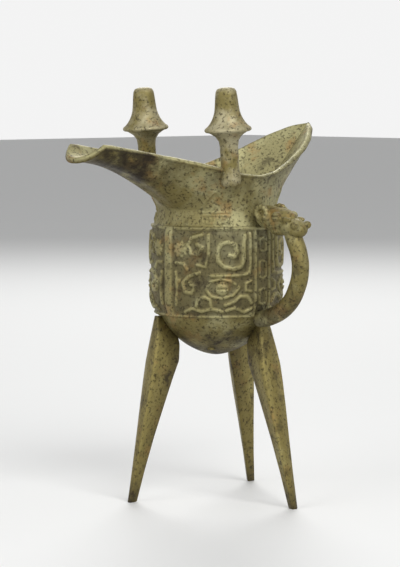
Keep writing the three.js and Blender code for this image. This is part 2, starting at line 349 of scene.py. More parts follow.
PANEL: tuple[Stroke | Boss, ...] = (
    Stroke(((6.8, 121), (9.4, 120.2), (10.8, 122.6), (9.8, 125.8), (6, 127.3), (2.6, 126.2), (1, 122.8),
            (1.5, 118.4), (4.4, 115.4), (9, 114.5), (13, 115.4), (14.2, 119), (14.2, 125), (14.8, 130)),
           1.7, 1.15),
    Stroke(((17.8, 131), (17.9, 119), (17.2, 112.2), (13, 111.3), (5, 111.2), (-2.2, 111.2)), 1.3, 0.95),
    Stroke(((-4.6, 105), (-2.4, 108.5), (2.5, 109.6), (8, 108.6), (12, 105.5), (8.6, 101.8), (3, 100.4),
            (-2, 101.4), (-4.6, 105)), 1.1, 0.8),
    Stroke(((-8, 112.5), (-13, 111), (-16.4, 107.6), (-15.4, 103.4), (-11.4, 103), (-10.2, 106),
            (-12.8, 107.4))),
    Stroke(((-9.4, 96.8), (-8.6, 100), (-5.4, 101.2), (-2.6, 99.8), (-2, 96.6)), 1.3),
    Stroke(((-16, 93.8), (-12, 95.6), (-7, 94.2), (-2, 95.6), (4, 94.2), (10, 96), (15, 93.8), (19, 95.4)),
           1.2, 0.9),
    Stroke(((5, 97.4), (9, 98.6), (12.4, 101.4), (16.4, 101.2), (18.6, 98.2)), 1.4),
    Stroke(((18.4, 108.6), (15.6, 107.4), (15.4, 104.2), (18.4, 103.6)), 1.1, 0.8),
    Stroke(((-6.6, 130.6), (-11.6, 129.2), (-13.8, 125.6), (-12, 121.6), (-8, 121.4), (-6.4, 124.4),
            (-9, 126))),
    Stroke(((-20.4, 117), (-16.4, 117), (-14, 114)), 1.2, 0.8),
    Stroke(((-3.4, 130.6), (-3.2, 122), (-4.8, 115.4), (-9, 116.4)), 1.2, 0.9),
    Stroke(((-20.6, 112.6), (-19.6, 104), (-20.6, 97)), 1.2, 0.9),
    Stroke(((21, 92.4), (21, 133)), 1.0, 0.9),
    Stroke(((25.6, 129), (23.4, 128.4), (23.4, 123), (25.6, 122.4)), 0.9, 0.7),
    Stroke(((25.6, 118), (23.4, 117), (23.4, 110.4), (25.6, 109.4)), 0.9, 0.7),
    Stroke(((25.6, 104.6), (23.4, 103.8), (23.4, 97.8), (25.6, 97)), 0.9, 0.7),
    Stroke(((-25.5, 92.6), (-25.5, 132.6)), 4.2, 0.85),
    Boss(-17.6, 123.6, 3.9, 1.35, 0.0, 9),
    Boss(3.4, 105, 3.3, 1.6, 0.9),
    Boss(-19, 108.6, 1.5, 0.9),
    Boss(19.4, 92.9, 1.2, 0.6),
)
SQUARE_SPIRAL: tuple[Pair, ...] = (
    (6.8, 135.7), (6.8, 139.5), (0.8, 139.5), (0.8, 136), (4.8, 136), (4.8, 138), (2.6, 138))
NECK_BLADE: tuple[Stroke, ...] = (
    Stroke(((-7.4, 141), (-4.4, 146.6), (0, 151.4), (4.4, 146.6), (7.4, 141), (-7.4, 141)), 0.8, 0.5),
    Stroke(((-4.8, 141.6), (0, 147.8), (4.8, 141.6)), 0.75, 0.45),
    Stroke(((-2.4, 141.6), (0, 144.6), (2.4, 141.6)), 0.7, 0.45),
    Stroke(tuple((-along, up) for along, up in SQUARE_SPIRAL), 0.7, 0.5),
    Stroke(SQUARE_SPIRAL, 0.7, 0.5),
)


@dataclass(frozen=True)
class Noise:
    """Noise of the patina: cells per metre, octaves, and a move that sets it apart from the others."""

    scale: float
    detail: float
    shift: float


@dataclass(frozen=True)
class Step:
    """Soft step: where it starts, how wide it is and how high it gets."""

    low: float
    width: float
    top: float = 1.0


@dataclass
class NodeDesk:
    """Short ways to place and join nodes in one tree."""

    tree: bpy.types.NodeTree
    sideways: float = 0.7
    octave_share: float = 0.65

    def noise(self, vector: bpy.types.NodeSocket, noise: Noise) -> bpy.types.NodeSocket:
        """Noise over the surface.

        Args:
            vector: Socket of the place.
            noise: Sizes of the noise.

        Returns:
            Socket of the noise's value.
        """
        moved = self.tree.nodes.new("ShaderNodeVectorMath")
        moved.operation = "ADD"
        moved.inputs[1].default_value = (noise.shift, noise.shift * self.sideways, -noise.shift)
        self.tree.links.new(vector, moved.inputs[0])
        node = self.tree.nodes.new("ShaderNodeTexNoise")
        node.inputs["Scale"].default_value = noise.scale
        node.inputs["Detail"].default_value = noise.detail
        node.inputs["Roughness"].default_value = self.octave_share
        self.tree.links.new(moved.outputs[0], node.inputs["Vector"])
        return node.outputs["Fac"]

    def maths(self, operation: str, first: bpy.types.NodeSocket | float,
              second: bpy.types.NodeSocket | float) -> bpy.types.NodeSocket:
        """Joins two values by an operation, kept between 0 and 1.

        Args:
            operation: Name of the operation.
            first: Socket or number.
            second: Socket or number.

        Returns:
            Socket of the result.
        """
        node = self.tree.nodes.new("ShaderNodeMath")
        node.operation = operation
        node.use_clamp = True
        for socket, value in zip(node.inputs, (first, second)):
            if isinstance(value, (int, float)):
                socket.default_value = value
            else:
                self.tree.links.new(value, socket)
        return node.outputs[0]

    def step(self, value: bpy.types.NodeSocket, step: Step,
             low: bpy.types.NodeSocket | None = None) -> bpy.types.NodeSocket:
        """Soft step of a value from an edge upwards.

        Args:
            value: Socket of the value.
            step: Edge, width and height of the step.
            low: Socket of the edge, where it isn't the step's own.

        Returns:
            Socket of the step.
        """
        above = self.maths("SUBTRACT", value, step.low if low is None else low)
        return self.maths("MULTIPLY", self.maths("DIVIDE", above, step.width), step.top)

    def mix(self, share: bpy.types.NodeSocket, first: bpy.types.NodeSocket,
            second: bpy.types.NodeSocket) -> bpy.types.NodeSocket:
        """Mixes two colours.

        Args:
            share: Socket of the second colour's share.
            first: Socket of the first colour.
            second: Socket of the second colour.

        Returns:
            Socket of the mixed colour.
        """
        node = self.tree.nodes.new("ShaderNodeMix")
        node.data_type = "RGBA"
        self.tree.links.new(share, node.inputs[0])
        self.tree.links.new(first, node.inputs[6])
        self.tree.links.new(second, node.inputs[7])
        return node.outputs[2]


@dataclass(frozen=True)
class Patina:
    """Layers of the patina and of the painted shade, which all finishes share."""

    name: str = "patina"
    broad: Noise = Noise(38, 5, 0.0)
    blotch: Noise = Noise(120, 7, 0.31)
    stain: Noise = Noise(75, 6, 0.77)
    grain: Noise = Noise(700, 4, 0.13)
    pits: Noise = Noise(420, 3, 0.53)
    pale_step: Step = Step(0.0, 0.14, 0.85)
    pale_share: float = 0.8
    rust_step: Step = Step(0.56, 0.12, 0.6)
    worn_step: Step = Step(0.6, 0.45, 0.75)
    shade_blotch_step: Step = Step(0.33, 0.16)
    shade_share: float = 0.85
    dark_step: Step = Step(0.0, 0.1, 0.55)
    recess_tone: float = 0.5
    recess_step: Step = Step(0.0, 0.5, 0.72)
    speckle_step: Step = Step(0.53, 0.1, 0.75)
    smoothest: float = 0.42
    blotch_roughness: float = 0.26
    speckle_roughness: float = 0.15
    level: float = 0.35
    grain_height: float = 0.5
    pit_step: Step = Step(0.6, 0.1, 0.35)

    def group(self) -> bpy.types.NodeTree:
        """Node group that gives colour, roughness and height from the place and the piece's own values.

        Returns:
            The shared group, built once.
        """
        if self.name in bpy.data.node_groups:
            return bpy.data.node_groups[self.name]
        tree = bpy.data.node_groups.new(self.name, "ShaderNodeTree")
        tree.interface.new_socket(name="Vector", in_out="INPUT", socket_type="NodeSocketVector")
        for label in ("Ground", "Pale", "Dark", "Rust"):
            tree.interface.new_socket(name=label, in_out="INPUT", socket_type="NodeSocketColor")
        for label in ("Pale Edge", "Dark Edge", *COAT_SOCKETS.values()):
            tree.interface.new_socket(name=label, in_out="INPUT", socket_type="NodeSocketFloat")
        tree.interface.new_socket(name="Colour", in_out="OUTPUT", socket_type="NodeSocketColor")
        for label in ("Roughness", "Height"):
            tree.interface.new_socket(name=label, in_out="OUTPUT", socket_type="NodeSocketFloat")
        self.fill(NodeDesk(tree))
        return tree

    def fill(self, desk: NodeDesk) -> None:
        """Places the group's nodes.

        Args:
            desk: Desk over the group's tree.
        """
        given = desk.tree.nodes.new("NodeGroupInput").outputs
        result = desk.tree.nodes.new("NodeGroupOutput").inputs
        broad = desk.noise(given["Vector"], self.broad)
        blotch = desk.noise(given["Vector"], self.blotch)
        stain = desk.noise(given["Vector"], self.stain)
        grain = desk.noise(given["Vector"], self.grain)
        pits = desk.noise(given["Vector"], self.pits)
        pale_share = desk.maths("ADD", desk.step(broad, self.pale_step, given["Pale Edge"]),
                                desk.maths("MULTIPLY", given["Paleness"], self.pale_share))
        colour = desk.mix(pale_share, given["Ground"], given["Pale"])
        colour = desk.mix(desk.step(stain, self.rust_step), colour, given["Rust"])
        colour = desk.mix(desk.step(given["Tone"], self.worn_step), colour, given["Pale"])
        # Painted shade: the per-point shade value mixes the dark colour in, in blotches, where a piece lies
        # under or between other parts.
        painted_shade = desk.maths("MULTIPLY", given["Painted Shade"], desk.step(blotch, self.shade_blotch_step))
        dark_share = desk.maths("ADD", desk.step(blotch, self.dark_step, given["Dark Edge"]),
                                desk.maths("MULTIPLY", painted_shade, self.shade_share))
        colour = desk.mix(dark_share, colour, given["Dark"])
        # Points whose tone is below the recess tone get the dark colour: dark patina in the hollows and
        # painted shade of the recesses together.
        depth = desk.maths("SUBTRACT", self.recess_tone, given["Tone"])
        colour = desk.mix(desk.step(depth, self.recess_step), colour, given["Dark"])
        speckle = desk.step(grain, self.speckle_step)
        colour = desk.mix(speckle, colour, given["Dark"])
        rough = desk.maths("ADD", self.smoothest, desk.maths("MULTIPLY", blotch, self.blotch_roughness))
        rough = desk.maths("ADD", rough, desk.maths("MULTIPLY", speckle, self.speckle_roughness))
        grained = desk.maths("ADD", self.level, desk.maths("MULTIPLY", grain, self.grain_height))
        height = desk.maths("SUBTRACT", grained, desk.step(pits, self.pit_step))
        for label, socket in (("Colour", colour), ("Roughness", rough), ("Height", height)):
            desk.tree.links.new(socket, result[label])


@dataclass(frozen=True)
class Finish:
    """Patina of one kind of face: four colours, in linear light, and how far each spreads."""

    name: str
    ground: Triple = (0.20, 0.165, 0.055)
    pale: Triple = (0.36, 0.335, 0.17)
    dark: Triple = (0.03, 0.021, 0.010)
    rust: Triple = (0.30, 0.165, 0.045)
    pale_edge: float = 0.5
    dark_edge: float = 0.545
    metallic: float = 0.55
    specular: float = 0.45
    bump: float = 0.6
    bump_depth: float = 0.0006
    coated: bool = True
    bare_tone: float = 0.5

    def material(self) -> bpy.types.Material:
        """Builds the material from the shared patina group.

        Returns:
            A new material.
        """
        material = bpy.data.materials.new(self.name)
        material.use_nodes = True
        nodes, links = material.node_tree.nodes, material.node_tree.links
        shader = nodes["Principled BSDF"]
        shader.inputs["Metallic"].default_value = self.metallic
        shader.inputs["Specular IOR Level"].default_value = self.specular
        group = nodes.new("ShaderNodeGroup")
        group.node_tree = Patina().group()
        place = nodes.new("ShaderNodeTexCoord")
        links.new(place.outputs["Object"], group.inputs["Vector"])
        colours = {"Ground": self.ground, "Pale": self.pale, "Dark": self.dark, "Rust": self.rust}
        for label, colour in colours.items():
            group.inputs[label].default_value = (*colour, 1.0)
        group.inputs["Pale Edge"].default_value = self.pale_edge
        group.inputs["Dark Edge"].default_value = self.dark_edge
        group.inputs["Tone"].default_value = self.bare_tone
        for coat, label in COAT_SOCKETS.items() if self.coated else ():
            reader = nodes.new("ShaderNodeAttribute")
            reader.attribute_name = coat.value
            links.new(reader.outputs["Fac"], group.inputs[label])
        bump = nodes.new("ShaderNodeBump")
        bump.inputs["Strength"].default_value = self.bump
        bump.inputs["Distance"].default_value = self.bump_depth
        links.new(group.outputs["Height"], bump.inputs["Height"])
        links.new(bump.outputs["Normal"], shader.inputs["Normal"])
        links.new(group.outputs["Colour"], shader.inputs["Base Color"])
        links.new(group.outputs["Roughness"], shader.inputs["Roughness"])
        return material


@dataclass(frozen=True)
class VesselWearAndShade:
    """Where the vessel's patina is worn or pale and where shade is painted under the spout, the flare and
    the bowl: tones, shares, and places in millimetres.
    """

    usual_tone: float = 0.55
    plain_tone: float = 0.5
    ground_tone: float = 0.12
    relief_tone: float = 0.62
    relief_low: float = 0.3
    relief_high: float = 1.25
    blade_height: float = 0.02
    blade_top: float = 152.0
    blade_tone: float = 0.3
    rim_tone: float = 0.95
    spout_start: float = 30.0
    spout_full: float = 58.0
    lip_start: float = 80.0
    lip_full: float = 90.0
    lip_clear: float = 0.55
    flare_shade: float = 0.5
    flare_full: float = 160.0
    foot_shade: float = 0.75
    foot_full: float = 72.0
    foot_end: float = 90.0
    inside_pale: float = 0.85
    band_pale: float = 0.35
    neck_pale: float = 0.3


@dataclass
class Vessel:
    """Bowl, neck, spout and tail, cast in one wall."""

    wall: float = 2.2
    bottom: float = 70.4
    belly_start: float = 100.4
    belly_radius: float = 31.4
    roundness: float = 1.7
    shoulder: float = 128.0
    neck_height: float = 142.0
    neck_radius: float = 28.8
    lower_border: float = 91.0
    upper_border: float = 134.0
    border_inset: float = 0.6
    border_height: float = 0.95
    border_core: float = 0.45
    border_edge: float = 0.95
    band_outset: float = 0.5
    band_inset: float = 0.3
    relief_depth: float = 1.1
    ground_raise: float = 0.25
    lip_reach: float = 7.5
    lip_drop: float = 6.5
    lip_shape: float = 2.4
    lip_roll: float = 0.5
    roll_start: float = 0.93
    crest_rise: float = 0.45
    fullness: float = 0.9
    fullness_angle: float = 0.14
    side_flare: float = 0.6
    rim: tuple[Triple, ...] = (
        (-83, 13, 172.3), (-66, 14, 170.2), (-56, 15, 168.6), (-47, 16.8, 166.8), (-40, 21, 165),
        (-34, 25.2, 163.6), (-26, 28, 161.8), (-14, 30.4, 158.8), (0, 31.4, 157.6), (12, 29.9, 159.2),
        (25, 26.2, 163.5), (40, 20.8, 169.5), (50, 15.2, 174.6), (60, 6.8, 179.6), (66, 0, 181))
    rim_step: float = 0.5
    rim_window: int = 15
    search_rounds: int = 40
    mouth_columns: int = 14
    side_columns: int = 190
    even_share: float = 0.72
    eased_share: float = 0.14
    low_rows: int = 24
    low_crowding: float = 1.7
    low_end: float = 0.8
    band_rows: int = 98
    band_start: float = 0.4
    band_end: float = 0.6
    neck_rows: int = 15
    neck_start: float = 1.1
    flare_rows: int = 40
    inner_band_rows: int = 24
    inner_flare_rows: int = 36
    wear_and_shade: VesselWearAndShade = VesselWearAndShade()
    angles: Points = field(init=False)
    rims: Points = field(init=False)
    rim_places: Points = field(init=False)
    rim_widths: Points = field(init=False)
    rim_heights: Points = field(init=False)
    mouth_x: float = field(init=False)
    mouth_angle: float = field(init=False)

    def __post_init__(self) -> None:
        """Works out the columns and the rim once."""
        table = np.array(self.rim)
        self.rim_places = np.arange(table[0, 0], table[-1, 0] + self.rim_step / 2, self.rim_step)
        self.rim_widths, self.rim_heights = (self.smoothed(table, column) for column in (1, 2))
        self.mouth_x = -table[0, 0]
        self.mouth_angle = math.atan2(table[0, 1], self.mouth_x)
        share = np.linspace(0, 1, self.side_columns + 1)
        eased = self.even_share * share + self.eased_share * (1 - np.cos(math.pi * share))
        mouth = np.linspace(0, self.mouth_angle, self.mouth_columns, endpoint=False)
        half = np.concatenate([mouth, self.mouth_angle + (math.pi - self.mouth_angle) * eased])
        self.angles = np.concatenate([half, TURN - half[1:-1][::-1]])
        self.rims = np.array([self.rim_point(angle) for angle in self.angles])

    def smoothed(self, table: Points, column: int) -> Points:
        """Column of the rim's table as a smooth line over the rim's places.

        Args:
            table: Table of the rim.
            column: Number of the column.

        Returns:
            One value for each place.
        """
        plain = np.interp(self.rim_places, table[:, 0], table[:, column])
        padded = np.pad(plain, self.rim_window // 2, mode="reflect", reflect_type="odd")
        window = np.hanning(self.rim_window)
        return np.convolve(padded, window / window.sum(), mode="valid")

    def rim_point(self, angle: float) -> Triple:
        """Point of the rim at an angle from the spout's axis.

        Args:
            angle: Angle, anticlockwise from the spout.

        Returns:
            The point in bowl coordinates.
        """
        near = min(angle, TURN - angle)
        if near < self.mouth_angle:
            lip = 1 - (near / self.mouth_angle) ** self.lip_shape
            x = -self.mouth_x - self.lip_reach * lip
            return x, x * math.tan(angle), self.rim[0][2] - self.lip_drop * lip
        inside, outside = 0.0, 2 * self.mouth_x
        for _ in range(self.search_rounds):
            middle = (inside + outside) / 2
            width = np.interp(-middle * math.cos(near), self.rim_places, self.rim_widths)
            if middle * math.sin(near) < width:
                inside = middle
            else:
                outside = middle
        x = -inside * math.cos(angle)
        return x, -inside * math.sin(angle), float(np.interp(x, self.rim_places, self.rim_heights))

    def bowl_radius(self, height: Points | float) -> Points:
        """Plain radius of the bowl and neck at a height."""
        height = np.asarray(height, dtype=float)
        rest = np.clip((self.belly_start - height) / (self.belly_start - self.bottom), 0, 1)
        low = self.belly_radius * (1 - rest**self.roundness) ** (1 / self.roundness)
        share = smoothstep(self.shoulder, self.neck_height, height)
        high = self.belly_radius + (self.neck_radius - self.belly_radius) * share
        return np.where(height < self.belly_start, low, high)

    def grid(self, heights: Points, flare_rows: int) -> Points:
        """Plain outer face as rings.

        Args:
            heights: Heights of the rings up to the neck.
            flare_rows: Rings from the neck to the rim.

        Returns:
            Points by ring and column.
        """
        cos, sin = np.cos(self.angles), np.sin(self.angles)
        radii = self.bowl_radius(heights)[:, None] * np.ones_like(self.angles)
        ups = np.repeat(heights[:, None], len(self.angles), axis=1)
        share = (np.arange(1, flare_rows + 1) / flare_rows)[:, None]
        near = np.minimum(self.angles, TURN - self.angles)
        full = 1 + self.fullness * np.exp(-((near / self.fullness_angle) ** 2))
        rim_radius = np.hypot(self.rims[:, 0], self.rims[:, 1])
        spread = share ** (1 + self.side_flare * sin**2)
        flare = self.neck_radius + (rim_radius - self.neck_radius) * spread
        rise = self.neck_height + (self.rims[:, 2] - self.neck_height) * (1 - (1 - share) ** full)
        radius = np.concatenate([radii, flare])
        return np.stack([-radius * cos, -radius * sin, np.concatenate([ups, rise])], axis=2)

    @staticmethod
    def normals(grid: Points) -> Points:
        """Outward normal at each point of a grid of rings."""
        along = np.roll(grid, -1, axis=1) - np.roll(grid, 1, axis=1)
        up = np.gradient(grid, axis=0)
        normal = np.cross(along, up)
        return normal / np.linalg.norm(normal, axis=2, keepdims=True)

    def relief(self, grid: Points) -> Points:
        """Height of the cast pattern over the plain face.

        Args:
            grid: Plain outer face.

        Returns:
            Height at each point in millimetres.
        """
        up = grid[:, :, 2]
        angle = np.minimum(self.angles, TURN - self.angles)
        angle = np.minimum(angle, math.pi - angle) - math.pi / 4
        along = np.repeat((angle * (self.belly_radius + self.relief_depth))[None], len(grid), axis=0)
        below, above = self.lower_border, self.upper_border
        band = smoothstep(below - self.band_outset, below + self.band_inset, up)
        band = band * (1 - smoothstep(above - self.band_inset, above + self.band_outset, up))
        height = np.zeros_like(up)
        for mark in PANEL:
            height = np.maximum(height, mark.raise_at(along, up))
        for level in (below + self.border_inset, above - self.border_inset):
            line = 1 - smoothstep(self.border_core, self.border_edge, np.abs(up - level))
            height = np.maximum(height, self.border_height * line)
        height = band * (self.ground_raise + height)
        for mark in NECK_BLADE:
            height = np.maximum(height, mark.raise_at(along, up) * (up > above))
        return height

    def build(self, material: bpy.types.Material) -> None:
        """Makes the vessel's mesh with its relief, lip and inside.

        Args:
            material: Finish of the vessel.
        """
        crowd = np.linspace(0, 1, self.low_rows + 1)[1:] ** self.low_crowding
        low = self.bottom + (self.lower_border - self.low_end - self.bottom) * crowd
        band = np.linspace(self.lower_border - self.band_start, self.upper_border + self.band_end,
                           self.band_rows)
        neck = np.linspace(self.upper_border + self.neck_start, self.neck_height, self.neck_rows)
        outer = self.grid(np.concatenate([low, band, neck]), self.flare_rows)
        height = self.relief(outer)
        roll = self.lip_roll * smoothstep(self.roll_start, 1.0, np.linspace(0, 1, self.flare_rows))
        height[-self.flare_rows:] += roll[:, None]
        outside = outer + self.normals(outer) * height[:, :, None]
        upper_in = np.linspace(self.lower_border, self.neck_height, self.inner_band_rows)
        inner = self.grid(np.concatenate([low[::2], upper_in]), self.inner_flare_rows)
        inside = inner - self.normals(inner) * self.wall
        crest = (outside[-1] + inside[-1]) / 2
        crest[:, 2] += self.crest_rise
        rings = [*outside, crest, *inside[::-1]]
        poles = [[0, 0, self.bottom], [0, 0, self.bottom + self.wall]]
        points = np.concatenate([*rings, poles])
        count = len(self.angles)
        faces = ring_faces(len(rings), count) + fan_faces(len(rings), count)
        piece = make_piece("vessel_bronze", points, faces, material, self.coats(points, height))
        seat(piece, "vessel")

    def coats(self, points: Points, height: Points) -> dict[Coat, Points]:
        """Patina and painted shade values of the vessel's points.

        Args:
            points: All points of the vessel.
            height: Relief of the outer rings.

        Returns:
            Values of each point.
        """
        wear_and_shade = self.wear_and_shade
        outer = height.size
        raised = height.reshape(-1)
        x, up = points[:outer, 0], points[:outer, 2]
        in_band = (up > self.lower_border) & (up < self.upper_border)
        on_neck = up > self.upper_border
        off_spout = x > -wear_and_shade.spout_start
        tone = np.full(len(points), wear_and_shade.usual_tone)
        # The band's ground gets a low tone and its raised relief a high, worn one; the low tone darkens the
        # ground as dark patina and painted shade of the recesses.
        worn = wear_and_shade.ground_tone + wear_and_shade.relief_tone * smoothstep(wear_and_shade.relief_low, wear_and_shade.relief_high, raised)
        tone[:outer] = np.where(in_band, worn, wear_and_shade.plain_tone)
        blade = on_neck & (raised > wear_and_shade.blade_height) & (up < wear_and_shade.blade_top)
        tone[:outer] = np.where(blade, wear_and_shade.plain_tone + wear_and_shade.blade_tone * raised, tone[:outer])
        tone[outer:outer + len(self.angles)] = wear_and_shade.rim_tone
        # Painted shade: on the spout's outer face, less of it near the lip, on the outer face of the flaring
        # mouth away from the spout, and under the bowl towards its foot.
        clear = 1 - wear_and_shade.lip_clear * smoothstep(wear_and_shade.lip_start, wear_and_shade.lip_full, -x)
        painted_shade = np.zeros(len(points))
        painted_shade[:outer] = smoothstep(wear_and_shade.spout_start, wear_and_shade.spout_full, -x) * clear
        flare = smoothstep(self.neck_height, wear_and_shade.flare_full, up)
        painted_shade[:outer] += wear_and_shade.flare_shade * flare * off_spout
        painted_shade[:outer] += wear_and_shade.foot_shade * (1 - smoothstep(wear_and_shade.foot_full, wear_and_shade.foot_end, up))
        pale = np.full(len(points), wear_and_shade.inside_pale)
        pale[:outer] = wear_and_shade.band_pale * in_band + wear_and_shade.neck_pale * on_neck * off_spout
        return {Coat.TONE: tone, Coat.BROWN: np.clip(painted_shade, 0, 1), Coat.PALE: pale}


@dataclass
class Leg:
    """Blade leg of triangular section with its root on the bowl's flank."""

    vessel: Vessel
    name: str
    node: str
    degrees: float
    foot_radius: float
    top: float = 90.0
    top_radius: float = 30.6
    crown: float = 0.9
    bury: float = 1.5
    foot_edge: float = 0.35
    foot_share: float = 0.86
    rows: int = 60
    side_points: int = 8
    rounding: int = 2
    rivet_level: float = 84.0
    rivet_height: float = 86.0
    rivet_inset: float = 2.1
    rivet_radii: Triple = (3.6, 3.6, 2.2)
    foot_shade_reach: float = 16.0
    foot_shade: float = 0.8
    root_shade: float = 0.45
    root_start: float = 70.0
    root_full: float = 88.0
    inner_shade: float = 0.5
    inner_start: float = 3.0
    inner_full: float = 12.0
    face_tone: float = 0.42
    edge_tone: float = 0.3
    edge_start: float = 3.4
    sections: tuple[Triple, ...] = (
        (0, 2.2, 4.2), (16, 3.2, 6.2), (32, 4.6, 8.8), (48, 6.2, 12), (60, 7.1, 14.5), (68, 7.3, 16.5),
        (76, 6, 15.5), (84, 4.2, 12), (90, 2.6, 6))

    def section(self, half_width: float, depth: float) -> Points:
        """Rounded triangle, outward distance and sideways distance of each point.

        Args:
            half_width: Half width of the outer face.
            depth: Depth from the outer face to the inner edge.

        Returns:
            Points, anticlockwise from above.
        """
        corners = np.array([[0, -half_width], [self.crown, 0], [0, half_width], [-depth, 0]])
        shares = np.linspace(0, 1, self.side_points, endpoint=False)
        following = np.roll(corners, -1, axis=0)
        ring = np.array([a + (b - a) * t for a, b in zip(corners, following) for t in shares])
        for _ in range(self.rounding):
            ring = (np.roll(ring, 1, axis=0) + 2 * ring + np.roll(ring, -1, axis=0)) / 4
        return ring

    def face_radius(self, up: Points | float) -> Points | float:
        """Distance of the outer face from the bowl's axis at a height."""
        foot = self.foot_radius + self.sections[0][2] / 2
        return foot + (self.top_radius - foot) * up / self.top

    def build(self, material: bpy.types.Material) -> None:
        """Makes the blade and the rivet of its tenon inside the bowl.

        Args:
            material: Finish of the leg.
        """
        table = np.array(self.sections)
        heights = np.concatenate([[0, self.foot_edge], np.linspace(1, self.top, self.rows)])
        angle = math.radians(self.degrees)
        outward = np.array([math.cos(angle), math.sin(angle), 0])
        sideways = np.array([-math.sin(angle), math.cos(angle), 0])
        rings = []
        for i, up in enumerate(heights):
            half_width = np.interp(up, table[:, 0], table[:, 1])
            depth = np.interp(up, table[:, 0], table[:, 2])
            face = self.face_radius(up)
            if up > self.vessel.bottom:
                depth = min(depth, face - float(self.vessel.bowl_radius(up)) + self.bury)
            ring = self.section(half_width, depth) * (self.foot_share if i == 0 else 1.0)
            rings.append((face + ring[:, :1]) * outward + ring[:, 1:] * sideways + np.array([0, 0, up]))
        inside = float(self.vessel.bowl_radius(self.rivet_level)) - self.rivet_inset
        rivet = ball((outward * inside + np.array([0, 0, self.rivet_height])).tolist(), self.rivet_radii)
        points, faces = join([closed_rings(rings), rivet])
        piece = make_piece(self.name, points, faces, material, self.coats(points, outward, sideways))
        seat(piece, self.node)

    def coats(self, points: Points, outward: Points, sideways: Points) -> dict[Coat, Points]:
        """Patina and painted shade values of the leg's points.

        Args:
            points: All points of the leg.
            outward: Direction away from the bowl's axis.
            sideways: Direction across the outer face.

        Returns:
            Values of each point.
        """
        up = points[:, 2]
        depth = self.face_radius(up) - points[:, :2] @ outward[:2]
        # Painted shade: darker near the floor, at the root under the bowl, and on the inner side that faces
        # the bowl's axis.
        painted_shade = self.foot_shade * smoothstep(0, 1, (self.foot_shade_reach - up) / self.foot_shade_reach)
        painted_shade = painted_shade + self.root_shade * smoothstep(self.root_start, self.root_full, up)
        painted_shade = painted_shade + self.inner_shade * smoothstep(self.inner_start, self.inner_full, depth)
        edge = np.abs(points[:, :2] @ sideways[:2]) > self.edge_start
        return {Coat.BROWN: np.clip(painted_shade, 0, 1), Coat.TONE: self.face_tone + self.edge_tone * edge}


@dataclass
class CappedPost:
    """Post on the rim with its bell cap."""

    side: int
    word: str
    x: float = -18.5
    y: float = 28.6
    rim_height: float = 160.0
    lean: float = math.radians(4.5)
    segments: int = 48
    shaft: tuple[Pair, ...] = (
        (0, -6.4), (3.4, -6.4), (4.6, -5.4), (4.9, -3.6), (4.7, -1.2), (4.35, 2), (4.3, 7), (4.3, 12),
        (4.7, 15), (6.2, 17.2), (8.4, 18.7), (9.2, 19.1), (9.2, 20), (2.5, 20), (2.5, 37.8), (0, 37.8))
    bell: tuple[Pair, ...] = (
        (10.4, 19.35), (11.0, 19.8), (11.1, 20.4), (10.8, 21.1), (9.6, 22.0), (8.4, 23.4), (7.4, 25),
        (6.6, 26.8), (6.0, 28.8), (5.7, 31), (5.45, 33.5), (5.2, 36), (4.9, 38), (4.2, 39.3),
        (2.6, 39.95), (0, 40.1))
    cap_wall: float = 1.5
    hollow_radius: float = 0.4
    hollow_top: float = 38.2
    hollow_pole: float = 38.3
    plain_tone: float = 0.5
    brim_tone: float = 0.35
    brim_start: float = 9.4
    brim_full: float = 11.0
    crown_tone: float = 0.4
    crown_start: float = 36.0
    crown_full: float = 40.0

    def turned(self, outline: list[Pair]) -> tuple[Points, Faces]:
        """Turns an outline round the leaning axis of the post.

        Args:
            outline: Radius and height of each point, from axis to axis, outside first.

        Returns:
            Points and faces.
        """
        turn = np.linspace(0, TURN, self.segments, endpoint=False)
        rings = [np.stack([r * np.cos(turn), r * np.sin(turn), np.full(len(turn), z)], axis=1)
                 for r, z in outline[1:-1]]
        points, faces = closed_rings(rings)
        points[-2] = (0, 0, outline[0][1])
        points[-1] = (0, 0, outline[-1][1])
        lean = np.array(Matrix.Rotation(-self.lean, 3, "Y"))
        return points @ lean.T + np.array([self.x, self.side * self.y, self.rim_height]), faces

    def build(self, material: bpy.types.Material) -> None:
        """Makes the post and its cap.

        Args:
            material: Finish of both.
        """
        points, faces = self.turned(list(self.shaft))
        post = make_piece("post_bronze_" + self.word, points, faces, material)
        seat(post, "post_" + self.word)
        hollow = [(max(r - self.cap_wall, self.hollow_radius), min(z, self.hollow_top))
                  for r, z in self.bell[:-2]]
        points, faces = self.turned([(0, self.hollow_pole), *hollow[::-1], *self.bell])
        cap = make_piece("cap_bronze_" + self.word, points, faces, material, self.cap_coats(points))
        seat(cap, "cap_" + self.word)

    def cap_coats(self, points: Points) -> dict[Coat, Points]:
        """Patina values of the cap's points, worn on the brim and the crown."""
        x, y, up = points.T
        reach = np.hypot(x - x.mean(), y - y.mean())
        brim = self.plain_tone + self.brim_tone * smoothstep(self.brim_start, self.brim_full, reach)
        crown = smoothstep(self.crown_start, self.crown_full, up - self.rim_height)
        return {Coat.TONE: np.maximum(brim, self.plain_tone + self.crown_tone * crown)}


@dataclass(frozen=True)
class Swelling:
    """Ellipsoid of the animal head: centre and radii in bowl coordinates."""

    centre: Triple
    radii: Triple

    def surface(self, side: int = 1) -> tuple[Points, Faces]:
        """Points and faces, mirrored to a side."""
        x, y, z = self.centre
        return ball((side * x, y, z), self.radii)


